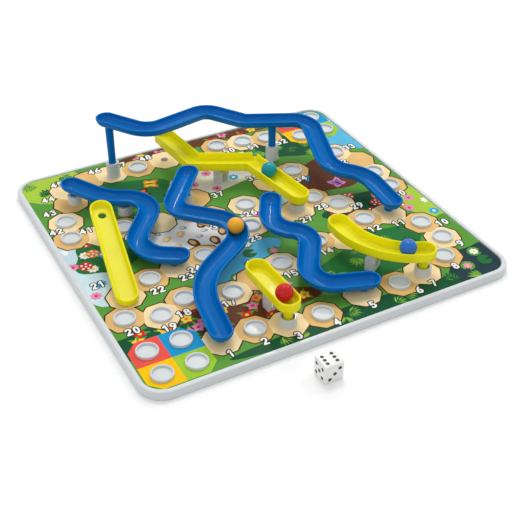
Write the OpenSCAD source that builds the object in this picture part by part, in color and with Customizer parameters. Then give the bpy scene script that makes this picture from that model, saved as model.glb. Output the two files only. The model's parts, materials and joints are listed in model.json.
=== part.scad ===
// Snakes and ladders board: a moulded tray with a printed sheet, cups for rolling balls,
// plug-in snake chutes and see-saw ladder troughs.
// Origin: centre of the tray's underside, +X to the right along the front edge, +Y to the back, +Z up.

/* [Board] */
// Width of the tray, side to side
board_w = 322; // [310:1:350]
// Depth of the tray, front to back
board_d = 312; // [300:1:340]
// Height of the tray's rim above the table
rim_h = 7.5; // [7:0.5:12]
// Width of the rim around the printed sheet
rim_w = 4; // [4:0.5:7]
// Radius of the tray's outer corners
corner_r = 20; // [16:1:30]
// Radius on the rim's outer top edge
rim_round = 1.75; // [1:0.25:1.75]
// Thickness of the tray's plate under the sheet
plate_t = 3; // [2:0.25:4]
// Thickness of the skirt and of the ribs under the tray
skirt_t = 3; // [2:0.25:4.5]
// Width of the flat pad at the centre of the underside
pad_d = 30; // [20:1:60]
// Thickness of the printed sheet
sheet_t = 0.5; // [0.3:0.1:1]
// Depth of the sheet's face below the top of the rim
sheet_drop = 1; // [0.5:0.25:1.5]
// Gap around what stands up through the sheet
sheet_play = 0.3; // [0.2:0.05:0.6]

/* [Cups] */
// Outer diameter of a cup
cup_d = 17.5; // [16.5:0.25:19]
// Diameter of the dish inside a cup
dish_d = 14.5; // [13:0.25:15.5]
// Height of a cup above the sheet
cup_rise = 2.5; // [2:0.25:4]
// Thickness of a dish's floor above the tray's plate
dish_floor = 1; // [0.8:0.1:1.5]
// Distance from the sheet's side edges to the nearest cups of the trail
side_inset = 15; // [13:0.5:20]
// Distance from the sheet's front edge to the nearest cup of the trail
front_inset = 19; // [15:0.5:24]
// Distance from the sheet's edge to the nearest start and finish cups
corner_inset = 15.5; // [13:0.5:18]
// Distance between neighbouring start or finish cups
corner_pitch = 27; // [22:0.5:34]
// Diameter of the small drilled space under the zigzag ladder
marker_d = 7; // [5:0.5:9]

/* [Balls and die] */
// Diameter of a ball
ball_d = 14; // [12:0.25:14.5]
// Gap between a ball and what it lies on
ball_gap = 0.3; // [0.2:0.05:0.5]
// Edge length of the die
die_w = 16; // [14:0.5:20]
// Radius of the die's edges
die_edge = 1.6; // [1:0.1:3]
// Distance that each corner of the die is cut back by rounding
die_corner = 1.5; // [1:0.1:3]
// Diameter of a pip
pip_d = 3; // [2:0.25:3.5]
// Depth of a pip
pip_depth = 0.4; // [0.2:0.1:0.6]

/* [Snakes] */
// Radius of a chute's gutter
gutter_r = 7.6; // [7.5:0.1:9]
// Wall of a chute
gutter_wall = 1.8; // [1.6:0.1:2.5]
// Diameter of a post at its plug end
post_d = 6.6; // [5.5:0.1:8]
// Growth of a post's diameter from its plug end to the chute
post_taper = 0.8; // [0:0.1:1.5]
// Gap around a plug in its socket, each side
plug_play = 0.3; // [0.2:0.05:0.5]
// Gap under a plug or a foot at rest
seat_gap = 0.2; // [0.1:0.05:0.4]
// Height of the long snake's underside above the sheet at its head
long_head_rise = 51; // [44:1:60]
// Height of the long snake's underside above the sheet at its second post
long_knee_rise = 35; // [31:1:40]
// Height of the long snake's underside above the sheet at its tail
long_tail_rise = 3.6; // [2:0.2:6]
// Height of the centre snake's underside above the sheet at its head
centre_head_rise = 18.6; // [14:0.2:24]
// Height of the right snake's underside above the sheet at its head
right_head_rise = 15.6; // [12:0.2:20]
// Height of the other tails' undersides above the sheet
tail_rise = 1.6; // [1:0.2:3]
// Length of post that shows between the left snake and its second socket
post_show = 1; // [0.6:0.2:3]
// Rise of the left snake's head above its second post
left_head_rise = 1.4; // [0.6:0.2:4]

/* [Sockets] */
// Wall of a socket at its top
socket_wall = 2.25; // [1.75:0.25:3.5]
// Growth of a socket's diameter from its top to its foot
socket_taper = 0.75; // [0:0.25:3]
// Height of a short socket above the sheet
socket_rise = 8; // [6:0.5:9]
// Height of a tall socket above the sheet
tall_rise = 14.5; // [10:0.5:22]
// Thickness of a socket's floor above the tray's plate
socket_floor = 1.5; // [1:0.25:2.5]
// Wall at the top of a socket that a ladder rests in
rest_wall = 1.5; // [1:0.25:2.5]
// Height above the sheet of a socket that a ladder rests in
rest_rise = 7.5; // [6:0.5:8.5]
// Height of the zigzag ladder's foot above its socket
rest_show = 3; // [1.2:0.2:4]

/* [Ladders] */
// Outer width of a trough
trough_w = 18.5; // [18:0.25:20]
// Outer height of a trough
trough_h = 8.5; // [7.5:0.5:11]
// Outer height of the left ladder's shallow trough
shallow_h = 7; // [6:0.5:9]
// Wall of a trough
trough_wall = 1.6; // [1.2:0.1:1.8]
// Floor of a trough
trough_floor = 1.6; // [1.2:0.1:2.5]
// Length of the left ladder
left_len = 110; // [100:1:120]
// Length of the front ladder
front_len = 64; // [56:1:72]
// Bend radius of the curved ladder, along its middle
curve_r = 60; // [50:1:75]
// Angle that the curved ladder turns through
curve_turn = 78; // [60:1:90]
// Diameter of the peg hole at the left ladder's upper end
peg_hole_d = 7; // [5:0.5:9]
// Distance of the peg hole from the ladder's upper end
peg_hole_inset = 13; // [10:0.5:18]
// Width of the notch in the zigzag ladder's wall
notch_w = 5; // [3:0.5:7]
// Diameter of a rest stub at the trough
stub_d = 8.5; // [7:0.25:9]
// Diameter of a rest stub at its tip
stub_tip_d = 6.5; // [5:0.25:7]
// Gap around a rest stub's foot in its socket, each side
stub_play = 1; // [0.8:0.1:1.5]

/* [Hinges] */
// Diameter of a hinge pin
pin_d = 3; // [2:0.25:4]
// Running gap between a pin and a lug, each side
pin_play = 0.06; // [0.02:0.01:0.1]
// Gap between a pin and its fork, each side
pin_seat = 0.02; // [0.01:0.01:0.04]
// Height of the hinge pins above the sheet
pin_rise = 11; // [9:0.25:12.5]
// Height of the left ladder's hinge pin above the sheet
left_pin_rise = 7.5; // [6.5:0.25:9]
// Height of a trough's underside above its pin
lug_rise = 5.5; // [5:0.25:8]
// Radius of a lug and of a fork cheek around the pin
lug_r = 4; // [3.5:0.25:4.5]
// Thickness of a lug
lug_t = 6; // [4:0.25:8]
// Thickness of a fork cheek
cheek_t = 3; // [2:0.25:4]
// Gap between a lug and each cheek
cheek_gap = 0.3; // [0.2:0.05:0.6]

/* [Hidden] */
$fn = 64;
// Reach of a cut past the face it opens
past = 1;

tray_white = [0.85, 0.87, 0.89];
sheet_sand = [0.93, 0.80, 0.58];
snake_blue = [0.00, 0.37, 0.71];
ladder_yellow = [0.90, 0.87, 0.12];

sheet_top = rim_h - sheet_drop;
plate_top = sheet_top - sheet_t;
plate_bottom = plate_top - plate_t;
sheet_w = board_w - 2 * rim_w;
sheet_d = board_d - 2 * rim_w;
sheet_corner = corner_r - rim_w;

// Layout of the cups along the trail, in the order of the spaces
first_layout = [[-61, -124], [-8, -133], [65, -129], [118, -116]];
second_layout = [[133, -94], [130, -68], [90, -41], [37, -50], [-4, -63], [-56, -78], [-92, -67],
    [-116, -77], [-142, -68]];
third_layout = [[-106, -32], [-54, -24], [-1, -4], [68, 9], [83, -10], [140, -6], [140, 20]];
fourth_layout = [[127, 67], [75, 57], [10, 27], [-97, 45], [-142, 50], [-138, 75]];
fifth_layout = [[-49, 129], [33, 130], [59, 126], [83, 122]];
trail_layout = concat(first_layout, second_layout, third_layout, fourth_layout, fifth_layout);

// The layout spreads over the sheet until its outermost cups are at their insets from the edges.
spread_x = (sheet_w / 2 - side_inset) / max([for (p = trail_layout) abs(p[0])]);
spread_y = (sheet_d / 2 - front_inset) / max([for (p = trail_layout) abs(p[1])]);
function laid(p) = [p[0] * spread_x, p[1] * spread_y];
function laid_all(list) = [for (p = list) laid(p)];
first_row = laid_all(first_layout);
second_row = laid_all(second_layout);
third_row = laid_all(third_layout);
fourth_row = laid_all(fourth_layout);
fifth_row = laid_all(fifth_layout);
marker_layout = [-21, 132];
marker_at = laid(marker_layout);
function corner_square(side) = [for (i = [0, 1], j = [0, 1])
    side * [sheet_w / 2 - corner_inset - i * corner_pitch, sheet_d / 2 - corner_inset - j * corner_pitch]];
start_square = corner_square(-1);
finish_square = corner_square(1);

// Snake routes: each point is [x, y, bend radius], from the head to the tail
function route_of(list) = [for (p = list) [laid(p)[0], laid(p)[1], p[2] * min(spread_x, spread_y)]];
long_layout = [[-75, 129, 0], [-48, 98, 24], [17, 120, 14], [43, 91, 13], [103, 80, 14], [87, 14, 20],
    [114, -3, 24], [117, -42, 0]];
left_layout = [[-121, 104, 0], [-102, 72, 48], [-61, 54, 20], [-113, -6, 22], [-77, -24, 0]];
centre_layout = [[-28, 62, 0], [-63, 21, 13], [-8, -24, 23], [-81, -68, 58], [-89, -124, 0]];
right_layout = [[17, -6, 0], [-2, -38, 18], [27, -56, 15], [-10, -112, 18], [40, -123, 0]];
long_route = route_of(long_layout);
left_route = route_of(left_layout);
centre_route = route_of(centre_layout);
right_route = route_of(right_layout);

// Height of each chute's underside above the sheet, against the share of its route from the head
long_knee_share = 0.51;
long_heights = [[0, long_head_rise], [long_knee_share, long_knee_rise], [1, long_tail_rise]];
left_knee_share = 0.31;
left_knee_rise = socket_rise + post_show;
left_heights = [[0, left_knee_rise + left_head_rise], [left_knee_share, left_knee_rise], [1, tail_rise]];
centre_heights = [[0, centre_head_rise], [1, tail_rise]];
right_heights = [[0, right_head_rise], [1, tail_rise]];
// Distances along the routes from the heads to the posts, and of the foot from the tail's end
long_posts = [2, 169];
left_posts = [2, 52];
centre_posts = [8];
right_posts = [2];
foot_inset = 4;

// Ladders: place of the hinge, heading from the foot to the head, and tilt at rest
left_pivot_layout = [-124, -2];
left_pivot = laid(left_pivot_layout);
left_heading = 80.5;
left_rise = asin((left_pin_rise - seat_gap) / norm([left_len / 2, lug_rise])) + atan2(lug_rise, left_len / 2);
zigzag_layout = [[-21, 130], [-14, 82], [34, 62], [47, 0]];
zigzag_route = laid_all(zigzag_layout);
zigzag_hinge_share = 0.48;
zigzag_pivot = zigzag_route[1] + (zigzag_route[2] - zigzag_route[1]) * zigzag_hinge_share;
zigzag_chord = zigzag_route[0] - zigzag_route[3];
zigzag_heading = atan2(zigzag_chord[1], zigzag_chord[0]);
zigzag_reach = norm(zigzag_route[3] - zigzag_pivot);
zigzag_rise = asin((pin_rise + lug_rise - rest_rise - rest_show) / zigzag_reach);
curved_pivot_layout = [58, -101];
curved_pivot = laid(curved_pivot_layout);
curved_heading = 121;
front_pivot_layout = [-37, -107];
front_pivot = laid(front_pivot_layout);
front_heading = 92;

chute_r = gutter_r + gutter_wall;
trough_r = trough_w / 2;
trough_inner_r = trough_r - trough_wall;
front_half = front_len / 2 - trough_r;
left_half = left_len / 2 - trough_r;
fork_w = lug_t + 2 * cheek_gap + 2 * cheek_t;
socket_bore = post_d + 2 * plug_play;
stub_bore = stub_d + 2 * stub_play;
plug_foot = plate_top + socket_floor + seat_gap;
post_sink = gutter_wall * 2 / 3;

// Geometry of routes
bend_step = 12;
function unit(v) = v / norm(v);
function xy(p) = [p[0], p[1]];
function turned(v, a) = [v[0] * cos(a) - v[1] * sin(a), v[0] * sin(a) + v[1] * cos(a)];
function left_of(v) = [-v[1], v[0]];

// Middle of a bend at corner b between a and c
function bend_half(a, b, c) = acos(unit(a - b) * unit(c - b)) / 2;
function bend_middle(a, b, c, r) = b + unit(unit(a - b) + unit(c - b)) * r / sin(bend_half(a, b, c));
function bend(a, b, c, r) =
    let (half = bend_half(a, b, c))
    let (middle = bend_middle(a, b, c, r))
    let (spoke = b + unit(a - b) * r / tan(half) - middle)
    let (way = sign(cross(unit(c - b), unit(a - b))))
    let (steps = ceil((180 - 2 * half) / bend_step))
    [for (i = [0 : steps]) middle + turned(spoke, way * (180 - 2 * half) * i / steps)];
function path(route) = concat([xy(route[0])],
    [for (i = [1 : len(route) - 2])
        each bend(xy(route[i - 1]), xy(route[i]), xy(route[i + 1]), route[i][2])],
    [xy(route[len(route) - 1])]);
function distances(points) = [for (i = 0, s = 0; i < len(points);
    i = i + 1, s = s + (i < len(points) ? norm(points[i] - points[i - 1]) : 0)) s];
function place_at(points, s) =
    let (d = distances(points))
    [for (axis = [0, 1]) lookup(s, [for (i = [0 : len(points) - 1]) [d[i], points[i][axis]]])];
function length_of(points) = distances(points)[len(points) - 1];
function underside(points, heights, s) = sheet_top + lookup(s / length_of(points), heights);
function brim(points, heights, s) = underside(points, heights, s) + chute_r;

// One ring of a chute: the outer half circle and back along the inner one.
// At an end the ring leans outward by lean degrees to close the bowl.
ring_steps = 8;
function ring(p, z, ahead, lean) =
    concat(
        [for (i = [0 : ring_steps]) chute_point(p, z, ahead, chute_r, lean, 180 * i / ring_steps)],
        [for (i = [ring_steps : -1 : 0]) chute_point(p, z, ahead, gutter_r, lean, 180 * i / ring_steps)]);
function chute_point(p, z, ahead, r, lean, a) =
    let (q = p + ahead * r * sin(lean) + left_of(ahead) * r * cos(lean) * cos(a))
    [q[0], q[1], z - r * cos(lean) * sin(a)];
bowl_leans = [80, 60, 40, 20];

module chute(points, heights) {
    d = distances(points);
    last = len(points) - 1;
    start_way = unit(points[1] - points[0]);
    end_way = unit(points[last] - points[last - 1]);
    start_z = brim(points, heights, 0);
    end_z = brim(points, heights, d[last]);
    rings = concat(
        [for (lean = bowl_leans) ring(points[0], start_z, start_way, -lean)],
        [for (i = [0 : last]) ring(points[i], brim(points, heights, d[i]),
            unit(points[min(i + 1, last)] - points[max(i - 1, 0)]), 0)],
        [for (k = [len(bowl_leans) - 1 : -1 : 0]) ring(points[last], end_z, end_way, bowl_leans[k])]);
    m = 2 * (ring_steps + 1);
    n = len(rings);
    side_faces = [for (i = [0 : n - 2], j = [0 : m - 1])
        [i * m + j, i * m + (j + 1) % m, (i + 1) * m + (j + 1) % m, (i + 1) * m + j]];
    far = (n - 1) * m;
    end_faces = [
        [for (j = [ring_steps : -1 : 0]) j],
        [for (j = [m - 1 : -1 : ring_steps + 1]) j],
        [0, ring_steps, ring_steps + 1, m - 1],
        [for (j = [0 : ring_steps]) far + j],
        [for (j = [ring_steps + 1 : m - 1]) far + j],
        [far + m - 1, far + ring_steps + 1, far + ring_steps, far]];
    polyhedron([for (r = rings) each r], concat(side_faces, end_faces), convexity = 10);
}

// A post from its socket's floor into the wall under the chute
module post(points, heights, s, rise) {
    at = place_at(points, s);
    top = underside(points, heights, s) + post_sink;
    mouth = sheet_top + rise;
    translate([at[0], at[1], plug_foot]) cylinder(h = mouth - plug_foot, d = post_d);
    translate([at[0], at[1], mouth]) cylinder(h = top - mouth, d1 = post_d, d2 = post_d + post_taper);
}

// A short foot that stands on the sheet under the tail
module tail_foot(points, heights) {
    s = length_of(points) - foot_inset;
    at = place_at(points, s);
    foot = sheet_top + seat_gap;
    translate([at[0], at[1], foot])
        cylinder(h = underside(points, heights, s) + post_sink - foot, d = post_d + post_taper);
}

module snake(route, heights, posts, rise) {
    points = path(route);
    color(snake_blue) union() {
        chute(points, heights);
        for (s = posts) post(points, heights, s, rise);
        tail_foot(points, heights);
    }
}

module long_snake() {
    snake(long_route, long_heights, long_posts, tall_rise);
}

module left_snake() {
    snake(left_route, left_heights, left_posts, socket_rise);
}

module centre_snake() {
    snake(centre_route, centre_heights, centre_posts, socket_rise);
}

module right_snake() {
    snake(right_route, right_heights, right_posts, socket_rise);
}

// Sockets: tapered tubes with a blind bore, standing on the tray's plate
module socket(at, rise, bore, wall) {
    top_d = bore + 2 * wall;
    height = sheet_top + rise - plate_top;
    translate([at[0], at[1], plate_top]) difference() {
        cylinder(h = height, d1 = top_d + socket_taper, d2 = top_d);
        translate([0, 0, socket_floor]) cylinder(h = height, d = bore);
    }
}

function post_places(route, posts) = [for (s = posts) place_at(path(route), s)];
tall_places = post_places(long_route, long_posts);
short_places = concat(post_places(left_route, left_posts), post_places(centre_route, centre_posts),
    post_places(right_route, right_posts));

module tall_sockets() {
    color(tray_white) for (at = tall_places) socket(at, tall_rise, socket_bore, socket_wall);
}

module short_sockets() {
    color(tray_white) for (at = short_places) socket(at, socket_rise, socket_bore, socket_wall);
}

// Ladder frame: origin on the hinge pin, +X from the foot to the head
module on_pivot(pivot, heading, rise, tilt) {
    translate([pivot[0], pivot[1], sheet_top + rise]) rotate([0, -tilt, heading]) children();
}
curve_end = [curve_r * sin(curve_turn / 2), curve_r * (cos(curve_turn / 2) - 1)];
zigzag_local = [for (p = zigzag_route) turned(p - zigzag_pivot, -zigzag_heading)];
stub_places = [zigzag_route[3], curved_pivot + turned([-curve_end[0], curve_end[1]], curved_heading),
    front_pivot + turned([-front_half, 0], front_heading)];

module ladder_sockets() {
    color(tray_white) for (at = stub_places) socket(at, rest_rise, stub_bore, rest_wall);
}

// Outline of a straight trough with round ends
module straight_outline(half, r) {
    square([2 * half, 2 * r], center = true);
    for (side = [-1, 1]) translate([side * half, 0]) circle(r);
}

// Outline of a trough along several straight legs, with mitred corners and round ends
cap_steps = 18;
function mitre(points, i, r) =
    let (last = len(points) - 1)
    let (before = left_of(unit(points[max(i, 1)] - points[max(i, 1) - 1])))
    let (after = left_of(unit(points[min(i, last - 1) + 1] - points[min(i, last - 1)])))
    points[i] + (before + after) * r / (1 + before * after);
function round_end(p, ahead, r) = [for (k = [1 : cap_steps - 1])
    p + turned(left_of(ahead), -180 * k / cap_steps) * r];
function mitred_outline(points, r) =
    let (last = len(points) - 1)
    concat(
        [for (i = [0 : last]) mitre(points, i, r)],
        round_end(points[last], unit(points[last] - points[last - 1]), r),
        [for (i = [last : -1 : 0]) mitre(points, i, -r)],
        round_end(points[0], unit(points[0] - points[1]), r));

module lug() {
    rotate([90, 0, 0]) cylinder(h = lug_t, r = lug_r, center = true);
    translate([-lug_r, -lug_t / 2, 0]) cube([2 * lug_r, lug_t, lug_rise + trough_floor / 2]);
}

module pin_bore(d) {
    rotate([90, 0, 0]) cylinder(h = fork_w + 2 * past, d = d, center = true);
}

// A straight trough on its lug, from x = -half to x = half between the middles of its round ends
module straight_ladder(half, height) {
    difference() {
        union() {
            translate([0, 0, lug_rise]) linear_extrude(height) straight_outline(half, trough_r);
            lug();
        }
        translate([0, 0, lug_rise + trough_floor])
            linear_extrude(height) straight_outline(half, trough_inner_r);
        pin_bore(pin_d + 2 * pin_play);
    }
}

// A vertical rest stub from its socket's floor up into the trough's floor
module stub(at, top) {
    translate([at[0], at[1], plug_foot]) cylinder(h = top - plug_foot, d1 = stub_tip_d, d2 = stub_d);
}

module left_ladder() {
    color(ladder_yellow) on_pivot(left_pivot, left_heading, left_pin_rise, left_rise) difference() {
        straight_ladder(left_half, shallow_h);
        translate([left_len / 2 - peg_hole_inset, 0, lug_rise - past])
            cylinder(h = trough_floor + 2 * past, d = peg_hole_d);
    }
}

module zigzag_ladder() {
    corner = zigzag_local[2];
    outward = unit(corner - zigzag_local[1]) - unit(zigzag_local[3] - corner);
    stub_top = sheet_top + rest_rise + rest_show + trough_floor / 2;
    color(ladder_yellow) union() {
        on_pivot(zigzag_pivot, zigzag_heading, pin_rise, zigzag_rise) difference() {
            union() {
                translate([0, 0, lug_rise])
                    linear_extrude(trough_h) polygon(mitred_outline(zigzag_local, trough_r));
                lug();
            }
            translate([0, 0, lug_rise + trough_floor])
                linear_extrude(trough_h) polygon(mitred_outline(zigzag_local, trough_inner_r));
            translate([corner[0], corner[1], lug_rise + trough_h / 2])
                rotate([0, 0, atan2(outward[1], outward[0])])
                translate([trough_inner_r - past, -notch_w / 2, 0])
                cube([trough_wall + 3 * past, notch_w, trough_h]);
            pin_bore(pin_d + 2 * pin_play);
        }
        stub(zigzag_route[3], stub_top);
    }
}

// The curved trough bends about a point beside the hinge, on the pin's line
module curved_outline(r) {
    far = 2 * curve_r;
    sector = far * [sin(curve_turn / 2), cos(curve_turn / 2)];
    translate([0, -curve_r]) intersection() {
        difference() {
            circle(curve_r + r);
            circle(curve_r - r);
        }
        polygon([[0, 0], [-sector[0], sector[1]], [-sector[0], far], [sector[0], far], sector]);
    }
    for (side = [-1, 1]) translate([side * curve_end[0], curve_end[1]]) circle(r);
}

module curved_ladder() {
    color(ladder_yellow) union() {
        on_pivot(curved_pivot, curved_heading, pin_rise, 0) difference() {
            union() {
                translate([0, 0, lug_rise]) linear_extrude(trough_h) curved_outline(trough_r);
                lug();
            }
            translate([0, 0, lug_rise + trough_floor])
                linear_extrude(trough_h) curved_outline(trough_inner_r);
            pin_bore(pin_d + 2 * pin_play);
        }
        stub(stub_places[1], sheet_top + pin_rise + lug_rise + trough_floor / 2);
    }
}

module front_ladder() {
    color(ladder_yellow) union() {
        on_pivot(front_pivot, front_heading, pin_rise, 0) straight_ladder(front_half, trough_h);
        stub(stub_places[2], sheet_top + pin_rise + lug_rise + trough_floor / 2);
    }
}

// A fork that carries a ladder's hinge pin between two cheeks
module fulcrum(pivot, heading, rise) {
    foot = plate_top - sheet_top - rise;
    color(tray_white) on_pivot(pivot, heading, rise, 0) difference() {
        union() {
            for (side = [-1, 1]) translate([0, side * (fork_w - cheek_t) / 2, 0]) {
                rotate([90, 0, 0]) cylinder(h = cheek_t, r = lug_r, center = true);
                translate([-lug_r, -cheek_t / 2, foot]) cube([2 * lug_r, cheek_t, -foot]);
            }
            translate([-lug_r, -fork_w / 2, foot]) cube([2 * lug_r, fork_w, sheet_t + socket_floor]);
        }
        pin_bore(pin_d + 2 * pin_seat);
    }
}

module left_fulcrum() {
    fulcrum(left_pivot, left_heading, left_pin_rise);
}

module zigzag_fulcrum() {
    fulcrum(zigzag_pivot, zigzag_heading, pin_rise);
}

module curved_fulcrum() {
    fulcrum(curved_pivot, curved_heading, pin_rise);
}

module front_fulcrum() {
    fulcrum(front_pivot, front_heading, pin_rise);
}

module pivot_pin(pivot, heading, rise) {
    on_pivot(pivot, heading, rise, 0) rotate([90, 0, 0]) cylinder(h = fork_w, d = pin_d, center = true);
}

module pivot_pins() {
    color("silver") {
        pivot_pin(left_pivot, left_heading, left_pin_rise);
        pivot_pin(zigzag_pivot, zigzag_heading, pin_rise);
        pivot_pin(curved_pivot, curved_heading, pin_rise);
        pivot_pin(front_pivot, front_heading, pin_rise);
    }
}

// Places of the balls: distances from the ladders' feet and bend, and an angle from the curved ladder's foot
front_ball_at = 6;
curved_ball_at = 13;
zigzag_ball_at = 24;
trough_ball_z = lug_rise + trough_floor + ball_gap + ball_d / 2;
elbow_middle = bend_middle(xy(centre_route[1]), xy(centre_route[2]), xy(centre_route[3]), centre_route[2][2]);
elbow_spoke = unit(xy(centre_route[2]) - elbow_middle);
elbow_step = 0.5;
elbow_place = elbow_middle + elbow_spoke * centre_route[2][2];
elbow_distance = min([for (s = [0 : elbow_step : length_of(path(centre_route))])
    if (norm(place_at(path(centre_route), s) - elbow_place) < elbow_step) s]);

module orange_ball() {
    z = brim(path(centre_route), centre_heights, elbow_distance) - gutter_r + ball_gap + ball_d / 2;
    color("orange") translate([elbow_place[0], elbow_place[1], z]) sphere(d = ball_d);
}

module red_ball() {
    color("firebrick") on_pivot(front_pivot, front_heading, pin_rise, 0)
        translate([front_ball_at - front_half, 0, trough_ball_z]) sphere(d = ball_d);
}

module blue_ball() {
    a = curve_turn / 2 - curved_ball_at;
    color("royalblue") on_pivot(curved_pivot, curved_heading, pin_rise, 0)
        translate([-curve_r * sin(a), curve_r * (cos(a) - 1), trough_ball_z]) sphere(d = ball_d);
}

module teal_ball() {
    at = zigzag_local[2] + unit(zigzag_local[3] - zigzag_local[2]) * zigzag_ball_at;
    color("teal") on_pivot(zigzag_pivot, zigzag_heading, pin_rise, zigzag_rise)
        translate([at[0], at[1], trough_ball_z]) sphere(d = ball_d);
}

// The die lies on the table in front of the board
die_gap = 22;
die_left = 35;
die_at = [-die_left, -board_d / 2 - die_gap - die_w / 2];
pip_step = die_w / 4;
pip_grid = [for (i = [-1, 0, 1], j = [-1, 0, 1]) [i, j] * pip_step];
function pips(count) = count == 1 ? [4] : count == 2 ? [0, 8] : count == 3 ? [0, 4, 8]
    : count == 4 ? [0, 2, 6, 8] : count == 5 ? [0, 2, 4, 6, 8] : [0, 1, 2, 6, 7, 8];
pip_r = (pip_d * pip_d / 4 + pip_depth * pip_depth) / (2 * pip_depth);

module pip_face(count, tilt) {
    rotate(tilt) translate([0, 0, die_w / 2 - pip_depth + pip_r])
        for (k = pips(count)) translate(pip_grid[k]) sphere(r = pip_r);
}

module die_bar() {
    translate([0, 0, -die_w / 2]) slab(die_w, die_w, die_edge, die_w);
}

module die() {
    color("white") translate([die_at[0], die_at[1], die_w / 2]) difference() {
        intersection() {
            die_bar();
            rotate([90, 0, 0]) die_bar();
            rotate([0, 90, 0]) die_bar();
            sphere(r = die_w * sqrt(3) / 2 - die_corner);
        }
        pip_face(6, [0, 0, 0]);
        pip_face(1, [180, 0, 0]);
        pip_face(3, [90, 0, 0]);
        pip_face(4, [-90, 0, 0]);
        pip_face(5, [0, -90, 0]);
        pip_face(2, [0, 90, 0]);
    }
}

// Cups: round dishes with a rounded brim
module cup(at) {
    brim_w = (cup_d - dish_d) / 2;
    height = sheet_top + cup_rise - plate_top;
    translate([at[0], at[1], plate_top]) rotate_extrude() {
        square([cup_d / 2 - brim_w / 2, dish_floor]);
        translate([dish_d / 2, 0]) square([brim_w, height - brim_w / 2]);
        translate([dish_d / 2 + brim_w / 2, height - brim_w / 2]) circle(brim_w / 2);
    }
}

module cups(list) {
    color(tray_white) for (at = list) cup(at);
}

module start_cups() {
    cups(start_square);
}

module finish_cups() {
    cups(finish_square);
}

module first_row_cups() {
    cups(first_row);
}

module second_row_cups() {
    cups(second_row);
}

module third_row_cups() {
    cups(third_row);
}

module fourth_row_cups() {
    cups(fourth_row);
}

module fifth_row_cups() {
    cups(fifth_row);
}

all_cups = concat(start_square, finish_square, first_row, second_row, third_row, fourth_row, fifth_row);

// Rounded rectangle around the origin
module slab(w, d, r, h) {
    linear_extrude(h) {
        square([w - 2 * r, d], center = true);
        square([w, d - 2 * r], center = true);
        for (x = [-1, 1], y = [-1, 1]) translate([x * (w / 2 - r), y * (d / 2 - r)]) circle(r);
    }
}

// The rim's section, standing at its outer face
module rim_section() {
    translate([-rim_w, 0]) square([rim_w, rim_h - rim_round]);
    translate([-rim_w, 0]) square([rim_w - rim_round, rim_h]);
    translate([-rim_round, rim_h - rim_round]) circle(rim_round);
}

module rim_side(length) {
    rotate([90, 0, 0]) linear_extrude(length, center = true) rim_section();
}

module base_tray() {
    color(tray_white) difference() {
        union() {
            slab(sheet_w, sheet_d, sheet_corner, plate_top);
            for (side = [0, 180]) rotate([0, 0, side]) {
                translate([board_w / 2, 0, 0]) rim_side(board_d - 2 * corner_r);
                rotate([0, 0, 90]) translate([board_d / 2, 0, 0]) rim_side(board_w - 2 * corner_r);
            }
            for (x = [-1, 1], y = [-1, 1])
                translate([x * (board_w / 2 - corner_r), y * (board_d / 2 - corner_r), 0])
                rotate([0, 0, x > 0 ? (y > 0 ? 0 : -90) : (y > 0 ? 90 : 180)])
                rotate_extrude(angle = 90) translate([corner_r, 0]) rim_section();
        }
        difference() {
            translate([0, 0, -past])
                slab(board_w - 2 * skirt_t, board_d - 2 * skirt_t, corner_r - skirt_t, plate_bottom + past);
            translate([0, 0, plate_bottom / 2]) {
                cube([board_w, skirt_t, plate_bottom + 4 * past], center = true);
                cube([skirt_t, board_d, plate_bottom + 4 * past], center = true);
                cylinder(h = plate_bottom + 4 * past, d = pad_d, center = true);
            }
        }
        translate([marker_at[0], marker_at[1], plate_bottom - past])
            cylinder(h = plate_t + 2 * past, d = marker_d);
    }
}

module printed_sheet() {
    color(sheet_sand) translate([0, 0, plate_top]) difference() {
        slab(sheet_w - 2 * sheet_play, sheet_d - 2 * sheet_play, sheet_corner - sheet_play, sheet_t);
        for (at = all_cups) sheet_hole(at, cup_d);
        for (at = concat(tall_places, short_places))
            sheet_hole(at, socket_bore + 2 * socket_wall + socket_taper);
        for (at = stub_places) sheet_hole(at, stub_bore + 2 * rest_wall + socket_taper);
        sheet_hole(marker_at, marker_d - 2 * sheet_play);
        fork_hole(left_pivot, left_heading);
        fork_hole(zigzag_pivot, zigzag_heading);
        fork_hole(curved_pivot, curved_heading);
        fork_hole(front_pivot, front_heading);
    }
}

module sheet_hole(at, d) {
    translate([at[0], at[1], -past]) cylinder(h = sheet_t + 2 * past, d = d + 2 * sheet_play);
}

module fork_hole(pivot, heading) {
    translate([pivot[0], pivot[1], sheet_t / 2]) rotate([0, 0, heading])
        cube([2 * lug_r + 2 * sheet_play, fork_w + 2 * sheet_play, sheet_t + 2 * past], center = true);
}

base_tray();
printed_sheet();
start_cups();
finish_cups();
first_row_cups();
second_row_cups();
third_row_cups();
fourth_row_cups();
fifth_row_cups();
tall_sockets();
short_sockets();
ladder_sockets();
left_fulcrum();
zigzag_fulcrum();
curved_fulcrum();
front_fulcrum();
pivot_pins();
long_snake();
left_snake();
centre_snake();
right_snake();
left_ladder();
zigzag_ladder();
curved_ladder();
front_ladder();
orange_ball();
red_ball();
blue_ball();
teal_ball();
die();
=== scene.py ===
"""Looks of a snakes and ladders board: chutes, troughs, printed trail, die, finishes, light and camera."""

import json
import math

import bmesh
import bpy
from mathutils import Matrix, Vector
from mathutils.geometry import delaunay_2d_cdt


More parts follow.
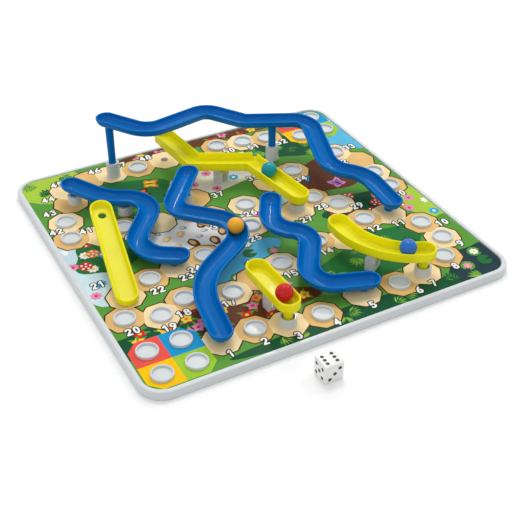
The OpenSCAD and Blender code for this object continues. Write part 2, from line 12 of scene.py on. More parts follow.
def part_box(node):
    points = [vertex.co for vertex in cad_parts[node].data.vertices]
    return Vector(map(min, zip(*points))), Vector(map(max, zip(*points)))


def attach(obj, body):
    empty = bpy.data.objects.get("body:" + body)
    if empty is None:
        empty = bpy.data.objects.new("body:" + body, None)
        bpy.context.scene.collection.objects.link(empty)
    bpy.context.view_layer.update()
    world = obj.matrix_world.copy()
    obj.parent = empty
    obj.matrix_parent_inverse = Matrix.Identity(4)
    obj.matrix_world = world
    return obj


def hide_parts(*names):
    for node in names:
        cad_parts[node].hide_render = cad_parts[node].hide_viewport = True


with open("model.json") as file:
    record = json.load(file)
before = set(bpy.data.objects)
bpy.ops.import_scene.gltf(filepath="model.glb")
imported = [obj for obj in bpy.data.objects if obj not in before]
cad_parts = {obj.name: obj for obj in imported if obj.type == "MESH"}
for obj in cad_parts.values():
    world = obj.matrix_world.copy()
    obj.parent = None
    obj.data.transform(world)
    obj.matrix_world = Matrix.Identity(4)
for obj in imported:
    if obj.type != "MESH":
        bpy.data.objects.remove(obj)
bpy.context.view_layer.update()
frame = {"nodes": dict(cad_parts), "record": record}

# Sizes below are in millimetres; meshes are made in metres.
MM = 0.001
SHEET_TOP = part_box("printed_sheet")[1].z / MM
SHEET_HALF_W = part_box("printed_sheet")[1].x / MM
SHEET_HALF_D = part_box("printed_sheet")[1].y / MM
SHEET_CORNER = 15.7
SHEET_CORNER_STEPS = 8
GOLDEN_ANGLE = math.radians(137.5)


def srgb(red, green, blue):
    """A colour from 0 to 255 as a linear one."""
    def linear(value):
        share = value / 255
        return share / 12.92 if share <= 0.04045 else ((share + 0.055) / 1.055) ** 2.4
    return (linear(red), linear(green), linear(blue), 1.0)


# Camera and light
PHOTO_SIZE = 512
FOCAL_PIXELS = 982.57
SENSOR = 36.0
VIEW_AZIMUTH = math.radians(-28.18)
VIEW_ELEVATION = math.radians(36.44)
VIEW_DISTANCE = 802.4
VIEW_TARGET = Vector((-17.25, -43.65, 6.5))
VIEW_RANGE = (0.01, 50.0)
# Each lamp: place and aim in metres, diameter, watts
LAMPS = {
    "overhead_softbox": ((0.2, 0.52, 1.5), (0.0, -0.05, 0.0), 0.6, 7.0),
    "back_key": ((0.6, 1.0, 1.1), (0.0, -0.05, 0.0), 0.12, 2.5),
    "right_softbox": ((1.1, 0.2, 1.2), (0.0, -0.05, 0.0), 0.7, 3.5),
    "left_fill": ((-1.3, -0.6, 0.9), (0.0, 0.0, 0.0), 0.7, 1.8),
}
WHITE = (1.0, 1.0, 1.0, 1.0)
ROOM_LIGHT = 0.6
ROOM_SEEN = 1.0


def make_camera():
    data = bpy.data.cameras.new("camera")
    data.sensor_width = SENSOR
    data.lens = FOCAL_PIXELS * SENSOR / PHOTO_SIZE
    data.clip_start, data.clip_end = VIEW_RANGE
    camera = bpy.data.objects.new("camera", data)
    bpy.context.scene.collection.objects.link(camera)
    level = math.cos(VIEW_ELEVATION)
    back = Vector((math.sin(VIEW_AZIMUTH) * level, -math.cos(VIEW_AZIMUTH) * level, math.sin(VIEW_ELEVATION)))
    camera.location = (VIEW_TARGET + back * VIEW_DISTANCE) * MM
    camera.rotation_mode = "QUATERNION"
    camera.rotation_quaternion = (-back).to_track_quat("-Z", "Y")
    bpy.context.scene.camera = camera


def make_lamp(name, place, aim, size, watts):
    data = bpy.data.lights.new(name, "AREA")
    data.shape = "DISK"
    data.size = size
    data.energy = watts
    lamp = bpy.data.objects.new(name, data)
    bpy.context.scene.collection.objects.link(lamp)
    lamp.location = place
    lamp.rotation_mode = "QUATERNION"
    lamp.rotation_quaternion = (Vector(aim) - Vector(place)).to_track_quat("-Z", "Y")


def background_rays(tree):
    """A value that is 1 for what the camera, a gloss or a clear piece shows, and 0 for other light."""
    path = tree.nodes.new("ShaderNodeLightPath")
    seen = path.outputs["Is Camera Ray"]
    for ray in ("Is Glossy Ray", "Is Transmission Ray"):
        either = tree.nodes.new("ShaderNodeMath")
        either.operation = "MAXIMUM"
        tree.links.new(seen, either.inputs[0])
        tree.links.new(path.outputs[ray], either.inputs[1])
        seen = either.outputs[0]
    return seen


def make_light():
    for name, lamp in LAMPS.items():
        make_lamp(name, *lamp)
    world = bpy.data.worlds.new("studio")
    world.use_nodes = True
    nodes, links = world.node_tree.nodes, world.node_tree.links
    background = nodes["Background"]
    background.inputs["Color"].default_value = WHITE
    strength = nodes.new("ShaderNodeMapRange")
    strength.inputs["To Min"].default_value = ROOM_LIGHT
    strength.inputs["To Max"].default_value = ROOM_SEEN
    links.new(background_rays(world.node_tree), strength.inputs["Value"])
    links.new(strength.outputs["Result"], background.inputs["Strength"])
    bpy.context.scene.world = world
    bpy.context.scene.view_settings.view_transform = "Standard"


# Shader groups and finishes
# Noises: cells per metre, and detail
CLOUDS = (22.0, 3.0)
SMEARS = (90.0, 4.0)
ORANGE_PEEL = (650.0, 2.0)
INK_WASH = (60.0, 4.0)
INK_GRAIN = (1400.0, 2.0)
CARD_FIBRE = (500.0, 6.0)
# A noise lies mostly between these two values.
NOISE_LOW = 0.3
NOISE_HIGH = 0.7
WASH_SHADES = (0.94, 1.06)
GRAIN_SHADES = (0.97, 1.03)
VARNISH_GLOSS = (0.30, 0.42)
# Bumps: depth in metres, and strengths
BUMP_DEPTH = 0.0001
PEEL_BUMP = 0.04
PRINT_BUMP = 0.15
STOCK_BUMP = 0.3
COAT_ROUGHNESS = 0.06
GLOW_TINT = (1.0, 0.9, 0.3)
GLOW_DEPTH = 0.005
PRINT_SHINE = 0.03
PRINT_COAT = 0.02
PRINT_COAT_ROUGHNESS = 0.2


def group_sockets(group, inputs, outputs):
    for name, kind, value in inputs:
        socket = group.interface.new_socket(name=name, in_out="INPUT", socket_type=kind)
        socket.default_value = value
    for name, kind in outputs:
        group.interface.new_socket(name=name, in_out="OUTPUT", socket_type=kind)
    return group.nodes.new("NodeGroupInput"), group.nodes.new("NodeGroupOutput")


def noise(group, scale, detail, coordinates):
    node = group.nodes.new("ShaderNodeTexNoise")
    node.inputs["Scale"].default_value = scale
    node.inputs["Detail"].default_value = detail
    group.links.new(coordinates, node.inputs["Vector"])
    return node.outputs["Fac"]


def ranged(group, value, low, high):
    """A noise value spread from low to high; either may be a socket."""
    node = group.nodes.new("ShaderNodeMapRange")
    node.inputs["From Min"].default_value = NOISE_LOW
    node.inputs["From Max"].default_value = NOISE_HIGH
    for limit, name in ((low, "To Min"), (high, "To Max")):
        if isinstance(limit, bpy.types.NodeSocket):
            group.links.new(limit, node.inputs[name])
        else:
            node.inputs[name].default_value = limit
    group.links.new(value, node.inputs["Value"])
    return node.outputs["Result"]


def tinted(group, colour, brightness):
    """A colour made lighter or darker by a value around 1."""
    node = group.nodes.new("ShaderNodeHueSaturation")
    group.links.new(brightness, node.inputs["Value"])
    group.links.new(colour, node.inputs["Color"])
    return node.outputs["Color"]


def moulding_group():
    """Moulded plastic: faint clouding, a gloss that varies, and a fine orange peel."""
    group = bpy.data.node_groups.new("moulded_skin", "ShaderNodeTree")
    given, made = group_sockets(
        group,
        [("Colour", "NodeSocketColor", (0.5, 0.5, 0.5, 1.0)), ("Lightest", "NodeSocketFloat", 1.04),
         ("Darkest", "NodeSocketFloat", 0.96), ("Glossiest", "NodeSocketFloat", 0.2),
         ("Dullest", "NodeSocketFloat", 0.3)],
        [("Colour", "NodeSocketColor"), ("Roughness", "NodeSocketFloat"), ("Height", "NodeSocketFloat")])
    place = group.nodes.new("ShaderNodeTexCoord").outputs["Object"]
    cloud = noise(group, *CLOUDS, place)
    smear = noise(group, *SMEARS, place)
    peel = noise(group, *ORANGE_PEEL, place)
    shade = ranged(group, cloud, given.outputs["Darkest"], given.outputs["Lightest"])
    group.links.new(tinted(group, given.outputs["Colour"], shade), made.inputs["Colour"])
    gloss = ranged(group, smear, given.outputs["Glossiest"], given.outputs["Dullest"])
    group.links.new(gloss, made.inputs["Roughness"])
    group.links.new(peel, made.inputs["Height"])
    return group


def print_group():
    """Varnished print on card: screen grain in the ink, paper fibre and a satin varnish."""
    group = bpy.data.node_groups.new("print_grain", "ShaderNodeTree")
    given, made = group_sockets(
        group, [("Colour", "NodeSocketColor", (0.5, 0.5, 0.5, 1.0))],
        [("Colour", "NodeSocketColor"), ("Roughness", "NodeSocketFloat"), ("Height", "NodeSocketFloat")])
    place = group.nodes.new("ShaderNodeTexCoord").outputs["Object"]
    grain = noise(group, *INK_GRAIN, place)
    wash = noise(group, *INK_WASH, place)
    fibre = noise(group, *CARD_FIBRE, place)
    both = group.nodes.new("ShaderNodeMath")
    both.operation = "MULTIPLY"
    group.links.new(ranged(group, grain, *GRAIN_SHADES), both.inputs[0])
    group.links.new(ranged(group, wash, *WASH_SHADES), both.inputs[1])
    group.links.new(tinted(group, given.outputs["Colour"], both.outputs[0]), made.inputs["Colour"])
    group.links.new(ranged(group, wash, *VARNISH_GLOSS), made.inputs["Roughness"])
    group.links.new(fibre, made.inputs["Height"])
    return group


MOULDED_SKIN = moulding_group()
PRINT_GRAIN = print_group()


def new_material(name):
    material = bpy.data.materials.new(name)
    material.use_nodes = True
    return material, material.node_tree, material.node_tree.nodes["Principled BSDF"]


def use_group(tree, group, shader, bump_strength):
    """Places a group in a material and joins its outputs to the shader."""
    node = tree.nodes.new("ShaderNodeGroup")
    node.node_tree = group
    bump = tree.nodes.new("ShaderNodeBump")
    bump.inputs["Strength"].default_value = bump_strength
    bump.inputs["Distance"].default_value = BUMP_DEPTH
    tree.links.new(node.outputs["Colour"], shader.inputs["Base Color"])
    tree.links.new(node.outputs["Roughness"], shader.inputs["Roughness"])
    tree.links.new(node.outputs["Height"], bump.inputs["Height"])
    tree.links.new(bump.outputs["Normal"], shader.inputs["Normal"])
    return node


def plastic(name, colour, gloss=(0.2, 0.3), shade=(0.97, 1.03), coat=0.2, shine=0.5, glow=0.0):
    """Moulded plastic. glow is the share of light that passes through thin walls."""
    material, tree, shader = new_material(name)
    node = use_group(tree, MOULDED_SKIN, shader, PEEL_BUMP)
    node.inputs["Colour"].default_value = colour
    node.inputs["Darkest"].default_value, node.inputs["Lightest"].default_value = shade
    node.inputs["Glossiest"].default_value, node.inputs["Dullest"].default_value = gloss
    shader.inputs["Specular IOR Level"].default_value = shine
    shader.inputs["Coat Weight"].default_value = coat
    shader.inputs["Coat Roughness"].default_value = COAT_ROUGHNESS
    shader.inputs["Subsurface Weight"].default_value = glow
    shader.inputs["Subsurface Radius"].default_value = GLOW_TINT
    shader.inputs["Subsurface Scale"].default_value = GLOW_DEPTH
    return material


def printed_card():
    material, tree, shader = new_material("printed_card")
    node = use_group(tree, PRINT_GRAIN, shader, PRINT_BUMP)
    ink = tree.nodes.new("ShaderNodeVertexColor")
    ink.layer_name = "ink"
    tree.links.new(ink.outputs["Color"], node.inputs["Colour"])
    shader.inputs["Specular IOR Level"].default_value = PRINT_SHINE
    shader.inputs["Coat Weight"].default_value = PRINT_COAT
    shader.inputs["Coat Roughness"].default_value = PRINT_COAT_ROUGHNESS
    return material


def card_stock():
    material, tree, shader = new_material("card_stock")
    node = use_group(tree, PRINT_GRAIN, shader, STOCK_BUMP)
    node.inputs["Colour"].default_value = srgb(226, 222, 210)
    return material


TRAY_PLASTIC = plastic("tray_plastic", srgb(216, 221, 223), gloss=(0.25, 0.38), shade=(0.985, 1.01),
                       coat=0.06, shine=0.3)
SNAKE_PLASTIC = plastic("snake_plastic", srgb(0, 111, 190), gloss=(0.14, 0.2), coat=0.12, shine=0.04)
LADDER_PLASTIC = plastic("ladder_plastic", srgb(240, 230, 12), gloss=(0.28, 0.38), coat=0.05, shine=0.15,
                         glow=0.5)
PIN_PLASTIC = plastic("pin_plastic", srgb(205, 208, 210), gloss=(0.3, 0.4))
DIE_PLASTIC = plastic("die_plastic", srgb(244, 244, 242), gloss=(0.15, 0.25), shade=(0.99, 1.0), coat=0.4)
PIP_PAINT = plastic("pip_paint", srgb(22, 22, 24), gloss=(0.3, 0.4), coat=0.2)
PRINTED_CARD = printed_card()
CARD_STOCK = card_stock()
BALL_COLOURS = {
    "orange_ball": srgb(250, 180, 38),
    "red_ball": srgb(204, 20, 22),
    "blue_ball": srgb(34, 112, 198),
    "teal_ball": srgb(0, 150, 164),
}


# Mesh helpers
SMOOTH_ANGLE = math.radians(40)
TURNED_SIDES = 40
WELD = 0.0005


def to_object(name, bm, materials):
    """Turns a bmesh in millimetres into an object in metres, smooth but for edges over the angle."""
    bmesh.ops.recalc_face_normals(bm, faces=bm.faces)
    mesh = bpy.data.meshes.new(name)
    bm.to_mesh(mesh)
    bm.free()
    mesh.transform(Matrix.Scale(MM, 4))
    for material in materials:
        mesh.materials.append(material)
    mesh.polygons.foreach_set("use_smooth", [True] * len(mesh.polygons))
    mesh.set_sharp_from_angle(angle=SMOOTH_ANGLE)
    piece = bpy.data.objects.new(name, mesh)
    bpy.context.scene.collection.objects.link(piece)
    return piece


def join_loops(bm, loops):
    """Closed loops of vertices joined by quads, each to the next."""
    for low, high in zip(loops, loops[1:]):
        count = len(low)
        for i in range(count):
            j = (i + 1) % count
            bm.faces.new((low[i], low[j], high[j], high[i]))


def arc(middle, radius, start, end, steps):
    """Points on an arc, in degrees, as pairs."""
    angles = [math.radians(start + (end - start) * i / steps) for i in range(steps + 1)]
    return [(middle[0] + radius * math.cos(a), middle[1] + radius * math.sin(a)) for a in angles]


def turn_profile(bm, place, profile):
    """A profile of (radius, height) pairs turned about a vertical line, with its ends closed."""
    loops = []
    for radius, height in profile:
        ring = arc((place[0], place[1]), radius, 0, 360, TURNED_SIDES)[:-1]
        loops.append([bm.verts.new((x, y, height)) for x, y in ring])
    join_loops(bm, loops)
    bm.faces.new(loops[0])
    bm.faces.new(loops[-1])


# Routes and outlines
BEND_STEP = math.radians(4)
END_STEPS = 28


def left_of(way):
    return Vector((-way.y, way.x))


def bend(before, corner, after, radius):
    """Points of a round bend at a corner of a route."""
    arm, leg = (before - corner).normalized(), (after - corner).normalized()
    half = math.acos(max(-1.0, min(1.0, arm.dot(leg)))) / 2
    middle = corner + (arm + leg).normalized() * radius / math.sin(half)
    spoke = corner + arm * radius / math.tan(half) - middle
    turn = math.copysign(math.pi - 2 * half, leg.cross(arm))
    steps = max(2, math.ceil(abs(turn) / BEND_STEP))
    return [middle + Matrix.Rotation(turn * i / steps, 2) @ spoke for i in range(steps + 1)]


def smooth_path(route):
    """Corners of (x, y, bend radius) as a line of points with round bends."""
    corners = [Vector((x, y)) for x, y, radius in route]
    points = [corners[0]]
    for i in range(1, len(route) - 1):
        points += bend(corners[i - 1], corners[i], corners[i + 1], route[i][2])
    return points + [corners[-1]]


def distances(points):
    total = [0.0]
    for a, b in zip(points, points[1:]):
        total.append(total[-1] + (b - a).length)
    return total


def place_at(points, distance):
    run = distances(points)
    for i in range(len(points) - 1):
        if run[i + 1] >= distance:
            share = (distance - run[i]) / (run[i + 1] - run[i])
            return points[i].lerp(points[i + 1], share)
    return points[-1]


def side_point(points, i, offset):
    """Mitred point beside point i of a line, to its left for a positive offset."""
    last = len(points) - 1
    before = left_of((points[max(i, 1)] - points[max(i, 1) - 1]).normalized())
    after = left_of((points[min(i, last - 1) + 1] - points[min(i, last - 1)]).normalized())
    return points[i] + (before + after) * offset / (1 + before.dot(after))


def round_end(point, ahead, radius):
    side = left_of(ahead)
    return [point + Matrix.Rotation(-math.pi * k / END_STEPS, 2) @ side * radius for k in range(1, END_STEPS)]


def outline(points, radius):
    """Closed outline at a distance around a line: each point with the index of the line's point beside it."""
    last = len(points) - 1
    ahead = (points[last] - points[last - 1]).normalized()
    behind = (points[0] - points[1]).normalized()
    ring = [(side_point(points, i, radius), i) for i in range(last + 1)]
    ring += [(p, last) for p in round_end(points[last], ahead, radius)]
    ring += [(side_point(points, i, -radius), i) for i in range(last, -1, -1)]
    ring += [(p, 0) for p in round_end(points[0], behind, radius)]
    return ring


def make_basin(bm, points, levels, profile):
    """A closed basin along a line: profile pairs (distance from the line, height) from under to inside."""
    loops = []
    for radius, height in profile:
        ring = outline(points, radius)
        loops.append([bm.verts.new((p.x, p.y, levels[i] + height)) for p, i in ring])
    join_loops(bm, loops)
    bmesh.ops.remove_doubles(bm, verts=bm.verts, dist=WELD)


# Snakes
GUTTER_R = 7.6
GUTTER_WALL = 1.8
CHUTE_R = GUTTER_R + GUTTER_WALL
POST_R = 3.3
POST_TOP_R = 3.7
POST_SINK = GUTTER_WALL * 2 / 3
POST_EDGE = 0.5
FOOT_EDGE = 0.3
ROUND_STEPS = 14
LIP_STEPS = 8
SOCKET_RISE = 8.0
TALL_RISE = 14.5
PLUG_FOOT = 1.2
FOOT_INSET = 4.0
SEAT_GAP = 0.2
SNAKES = {
    "long_snake": {
        "route": [(-75, 129, 0), (-48, 98, 24), (17, 120, 14), (43, 91, 13), (103, 80, 14), (87, 14, 20),
                  (114, -3, 24), (117, -42, 0)],
        "heights": [(0, 51), (0.51, 35), (1, 3.6)], "posts": [2, 169], "socket": TALL_RISE},
    "left_snake": {
        "route": [(-121, 104, 0), (-102, 72, 48), (-61, 54, 20), (-113, -6, 22), (-77, -24, 0)],
        "heights": [(0, 10.4), (0.31, 9), (1, 1.6)], "posts": [2, 52], "socket": SOCKET_RISE},
    "centre_snake": {
        "route": [(-28, 62, 0), (-63, 21, 13), (-8, -24, 23), (-81, -68, 58), (-89, -124, 0)],
        "heights": [(0, 18.6), (1, 1.6)], "posts": [8], "socket": SOCKET_RISE},
    "right_snake": {
        "route": [(17, -6, 0), (-2, -38, 18), (27, -56, 15), (-10, -112, 18), (40, -123, 0)],
        "heights": [(0, 15.6), (1, 1.6)], "posts": [2], "socket": SOCKET_RISE},
}


def height_at(share, knots):
    for (s0, h0), (s1, h1) in zip(knots, knots[1:]):
        if share <= s1:
            return h0 + (h1 - h0) * (share - s0) / (s1 - s0)
    return knots[-1][1]


def chute_profile():
    """Section of a chute below its brim: round underside, rolled lip, round gutter."""
    lip_drop = GUTTER_WALL / 2
    outer, inner = (math.sqrt(r * r - lip_drop * lip_drop) for r in (CHUTE_R, GUTTER_R))
    lip_r = (outer - inner) / 2
    under = arc((0, 0), CHUTE_R, -90, -math.degrees(math.asin(lip_drop / CHUTE_R)), ROUND_STEPS)
    lip = arc(((outer + inner) / 2, -lip_drop), lip_r, 0, 180, LIP_STEPS)[1:-1]
    inside = arc((0, 0), GUTTER_R, -math.degrees(math.asin(lip_drop / GUTTER_R)), -90, ROUND_STEPS)
    return [(max(r, 0.0), z) for r, z in under + lip + inside]


def make_snake(name, route, heights, posts, socket):
    points = smooth_path(route)
    run = distances(points)
    levels = [SHEET_TOP + height_at(d / run[-1], heights) + CHUTE_R for d in run]
    bm = bmesh.new()
    make_basin(bm, points, levels, chute_profile())
    for distance in posts:
        top = SHEET_TOP + height_at(distance / run[-1], heights) + POST_SINK
        foot, mouth = SHEET_TOP + PLUG_FOOT, SHEET_TOP + socket
        turn_profile(bm, place_at(points, distance),
                     [(POST_R - POST_EDGE, foot), (POST_R, foot + POST_EDGE), (POST_R, mouth),
                      (POST_TOP_R, top)])
    tail = run[-1] - FOOT_INSET
    foot = SHEET_TOP + SEAT_GAP
    top = SHEET_TOP + height_at(tail / run[-1], heights) + POST_SINK
    turn_profile(bm, place_at(points, tail),
                 [(POST_TOP_R - FOOT_EDGE, foot), (POST_TOP_R, foot + FOOT_EDGE), (POST_TOP_R, top)])
    piece = to_object(name + "_chute", bm, [SNAKE_PLASTIC])
    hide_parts(name)
    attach(piece, name)


# Ladders
TROUGH_R = 9.25
TROUGH_WALL = 1.6
TROUGH_FLOOR = 1.6
TROUGH_EDGE = 1.4
TROUGH_FILLET = 2.2
FLAT_BORDER = 0.4
EDGE_STEPS = 5
FILLET_STEPS = 6
TROUGH_H = 8.5
SHALLOW_H = 7.0
LUG_RISE = 5.5
LUG_R = 4.0
LUG_T = 6.0
LUG_SIDES = 48
TINY = 1e-6
PIN_BORE_R = 1.56
PIN_RISE = 11.0
LEFT_PIN_RISE = 7.5
STUB_R = 4.25
STUB_TIP_R = 3.25
STUB_EDGE = 0.6
LEFT_LENGTH = 110.0
LEFT_PIVOT = (-124, -2)
LEFT_HEADING = math.radians(80.5)
FRONT_LENGTH = 64.0
FRONT_PIVOT = Vector((-37, -107))
FRONT_HEADING = math.radians(92)
CURVE_R = 60.0
CURVE_TURN = math.radians(78)
CURVE_STEPS = 36
CURVE_PIVOT = Vector((58, -101))
CURVE_HEADING = math.radians(121)
PEG_HOLE_R = 3.5
PEG_HOLE_INSET = 13.0
CUT_PAST = 1.0
NOTCH_W = 5.0
REST_RISE = 7.5
REST_SHOW = 3.0
ZIGZAG_ROUTE = [Vector(p) for p in ((-21, 130), (-14, 82), (34, 62), (47, 0))]
ZIGZAG_HINGE_SHARE = 0.48
CUT_SHARP_ANGLE = math.radians(25)


def trough_profile(height):
    """Section of a trough above its underside: rounded edge, rolled lip, filleted floor."""
    lip = TROUGH_WALL / 2
    outside = TROUGH_R - TROUGH_EDGE
    inside = TROUGH_R - TROUGH_WALL - TROUGH_FILLET
    profile = [(0.0, 0.0), (outside - FLAT_BORDER, 0.0)]
    profile += arc((outside, TROUGH_EDGE), TROUGH_EDGE, -90, 0, EDGE_STEPS)
    profile += arc((TROUGH_R - lip, height - lip), lip, 0, 180, LIP_STEPS)
    profile += arc((inside, TROUGH_FLOOR + TROUGH_FILLET), TROUGH_FILLET, 0, -90, FILLET_STEPS)
    return profile + [(inside - FLAT_BORDER, TROUGH_FLOOR), (0.0, TROUGH_FLOOR)]


def make_lug(bm):
    """A lug with a pin bore, rounded below and square where it meets the trough."""
    top = LUG_RISE + TROUGH_FLOOR / 2
    corner = math.atan2(top, LUG_R)
    angles = sorted([2 * math.pi * i / LUG_SIDES for i in range(LUG_SIDES)] + [corner, math.pi - corner])
    rings = []
    for side in (-LUG_T / 2, LUG_T / 2):
        rim, bore = [], []
        for a in angles:
            c, s = math.cos(a), math.sin(a)
            reach = LUG_R if s <= 0 else min(LUG_R / max(abs(c), TINY), top / s)
            rim.append(bm.verts.new((reach * c, side, reach * s)))
            bore.append(bm.verts.new((PIN_BORE_R * c, side, PIN_BORE_R * s)))
        rings += [rim, bore]
    front_rim, front_bore, back_rim, back_bore = rings
    join_loops(bm, [front_bore, front_rim, back_rim, back_bore, front_bore])


def make_stub(bm, place, top):
    """An upright stub under a trough's foot."""
    foot = SHEET_TOP + PLUG_FOOT
    turn_profile(bm, place, [(STUB_TIP_R - STUB_EDGE, foot), (STUB_TIP_R, foot + STUB_EDGE), (STUB_R, top)])


def pivot_frame(pivot, rise, heading, tilt):
    place = Matrix.Translation((pivot[0], pivot[1], SHEET_TOP + rise))
    return place @ Matrix.Rotation(heading, 4, "Z") @ Matrix.Rotation(-tilt, 4, "Y")


def cut(piece, cutter):
    """Takes the cutter's shape out of a piece and removes the cutter."""
    modifier = piece.modifiers.new("cut", "BOOLEAN")
    modifier.operation = "DIFFERENCE"
    modifier.solver = "EXACT"
    modifier.material_mode = "TRANSFER"
    modifier.object = cutter
    bpy.context.view_layer.update()
    cut_mesh = bpy.data.meshes.new_from_object(piece.evaluated_get(bpy.context.evaluated_depsgraph_get()))
    piece.modifiers.clear()
    cut_mesh.set_sharp_from_angle(angle=CUT_SHARP_ANGLE)
    piece.data = cut_mesh
    bpy.data.objects.remove(cutter)


def make_ladder(name, pivot, rise, heading, tilt, line, height, stub=None, cutter=None):
    """A trough on its lug. line is its middle line in the hinge's frame, stub its foot's (x, y, top)."""
    hinge = pivot_frame(pivot, rise, heading, tilt)
    bm = bmesh.new()
    make_basin(bm, line, [LUG_RISE] * len(line), trough_profile(height))
    make_lug(bm)
    bm.transform(hinge)
    if stub:
        make_stub(bm, stub, stub[2])
    piece = to_object(name + "_trough", bm, [LADDER_PLASTIC])
    if cutter:
        cutter.transform(hinge)
        cut(piece, to_object(name + "_cutter", cutter, [LADDER_PLASTIC]))
    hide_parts(name)
    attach(piece, name)


def straight_line(length):
    half = length / 2 - TROUGH_R
    return [Vector((-half, 0)), Vector((half, 0))]


def turned(point, angle):
    return Matrix.Rotation(angle, 2) @ Vector(point)


def make_left_ladder():
    arm = LEFT_LENGTH / 2
    tilt = math.asin((LEFT_PIN_RISE - SEAT_GAP) / math.hypot(arm, LUG_RISE)) + math.atan2(LUG_RISE, arm)
    hole = bmesh.new()
    turn_profile(hole, (arm - PEG_HOLE_INSET, 0),
                 [(PEG_HOLE_R, LUG_RISE - CUT_PAST), (PEG_HOLE_R, LUG_RISE + TROUGH_FLOOR + CUT_PAST)])
    make_ladder("left_ladder", LEFT_PIVOT, LEFT_PIN_RISE, LEFT_HEADING, tilt,
                straight_line(LEFT_LENGTH), SHALLOW_H, cutter=hole)


def make_zigzag_ladder():
    pivot = ZIGZAG_ROUTE[1].lerp(ZIGZAG_ROUTE[2], ZIGZAG_HINGE_SHARE)
    chord = ZIGZAG_ROUTE[0] - ZIGZAG_ROUTE[3]
    heading = math.atan2(chord.y, chord.x)
    drop = PIN_RISE + LUG_RISE - REST_RISE - REST_SHOW
    tilt = math.asin(drop / (ZIGZAG_ROUTE[3] - pivot).length)
    line = [turned(p - pivot, -heading) for p in ZIGZAG_ROUTE]
    outward = (line[2] - line[1]).normalized() - (line[3] - line[2]).normalized()
    notch = bmesh.new()
    bmesh.ops.create_cube(notch, size=1.0, matrix=Matrix.Diagonal((TROUGH_R, NOTCH_W, TROUGH_H, 1)))
    reach = line[2] + outward.normalized() * (1.5 * TROUGH_R - TROUGH_WALL)
    notch.transform(Matrix.Translation((reach.x, reach.y, LUG_RISE + TROUGH_H))
                    @ Matrix.Rotation(math.atan2(outward.y, outward.x), 4, "Z"))
    foot = ZIGZAG_ROUTE[3]
    make_ladder("zigzag_ladder", pivot, PIN_RISE, heading, tilt, line, TROUGH_H,
                stub=(foot.x, foot.y, SHEET_TOP + REST_RISE + REST_SHOW + TROUGH_FLOOR / 2), cutter=notch)


def make_curved_ladder():
    line = []
    for i in range(CURVE_STEPS + 1):
        a = CURVE_TURN * (i / CURVE_STEPS - 0.5)
        line.append(Vector((CURVE_R * math.sin(a), CURVE_R * (math.cos(a) - 1))))
    foot = CURVE_PIVOT + turned(line[0], CURVE_HEADING)
    make_ladder("curved_ladder", CURVE_PIVOT, PIN_RISE, CURVE_HEADING, 0.0, line, TROUGH_H,
                stub=(foot.x, foot.y, SHEET_TOP + PIN_RISE + LUG_RISE + TROUGH_FLOOR / 2))


def make_front_ladder():
    line = straight_line(FRONT_LENGTH)
    foot = FRONT_PIVOT + turned(line[0], FRONT_HEADING)
    make_ladder("front_ladder", FRONT_PIVOT, PIN_RISE, FRONT_HEADING, 0.0, line, TROUGH_H,
                stub=(foot.x, foot.y, SHEET_TOP + PIN_RISE + LUG_RISE + TROUGH_FLOOR / 2))


# Die
DIE_EDGE = 1.7
DIE_EDGE_STEPS = 6
PIP_R = 1.5
PIP_DEPTH = 0.4
PIP_SIDES = 32
PIP_RINGS = 24
PIP_LAYOUTS = {1: [4], 2: [0, 8], 3: [0, 4, 8], 4: [0, 2, 6, 8], 5: [0, 2, 4, 6, 8], 6: [0, 1, 2, 6, 7, 8]}
QUARTER = math.pi / 2
PIP_FACES = {6: (0, "X"), 1: (math.pi, "X"), 3: (QUARTER, "X"), 4: (-QUARTER, "X"), 5: (-QUARTER, "Y"),
             2: (QUARTER, "Y")}


def make_die():
    low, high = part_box("die")
    middle, width = (low + high) / 2 / MM, (high.x - low.x) / MM
    bm = bmesh.new()
    bmesh.ops.create_cube(bm, size=width)
    bmesh.ops.bevel(bm, geom=bm.edges[:], offset=DIE_EDGE, segments=DIE_EDGE_STEPS, profile=0.5,
                    affect="EDGES")
    bmesh.ops.translate(bm, verts=bm.verts, vec=middle)
    body = to_object("white_die", bm, [DIE_PLASTIC, PIP_PAINT])
    ball_r = (PIP_R * PIP_R + PIP_DEPTH * PIP_DEPTH) / (2 * PIP_DEPTH)
    step = width / 4
    dishes = bmesh.new()
    for count, (angle, axis) in PIP_FACES.items():
        face = Matrix.Translation(middle) @ Matrix.Rotation(angle, 4, axis)
        for k in PIP_LAYOUTS[count]:
            place = Vector(((k // 3 - 1) * step, (k % 3 - 1) * step, width / 2 - PIP_DEPTH + ball_r))
            bmesh.ops.create_uvsphere(dishes, u_segments=PIP_SIDES, v_segments=PIP_RINGS, radius=ball_r,
                                      matrix=face @ Matrix.Translation(place))
    cutter = to_object("pip_cutter", dishes, [PIP_PAINT])
    cut(body, cutter)
    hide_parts("die")
    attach(body, "die")


# Printed trail
INKS = {
    "meadow": srgb(92, 156, 62), "moss": srgb(40, 116, 58), "forest": srgb(24, 84, 52),
    "lime": srgb(168, 204, 66), "pond": srgb(92, 186, 222), "mist": srgb(206, 232, 244),
    "deep": srgb(40, 62, 70), "soil": srgb(104, 58, 34), "bark": srgb(70, 38, 22),
    "sand": srgb(252, 226, 174), "tan": srgb(232, 190, 122), "gravel": srgb(236, 234, 226),
    "pebble": srgb(150, 158, 160), "pink": srgb(238, 142, 184), "rose": srgb(214, 62, 110),
    "white": srgb(250, 250, 248), "butter": srgb(250, 206, 60), "orange": srgb(238, 132, 40),
    "red": srgb(214, 46, 44), "violet": srgb(150, 104, 186), "sky": srgb(40, 168, 222),
    "black": srgb(24, 26, 28), "start_red": srgb(238, 88, 78), "start_blue": srgb(24, 152, 208),
    "start_yellow": srgb(254, 200, 14), "start_green": srgb(160, 204, 58),
}
STONE_R = 14.4
STONE_EDGE = 1.1
STONE_LEAN = 0.1
STONE_ROUNDING = 0.28
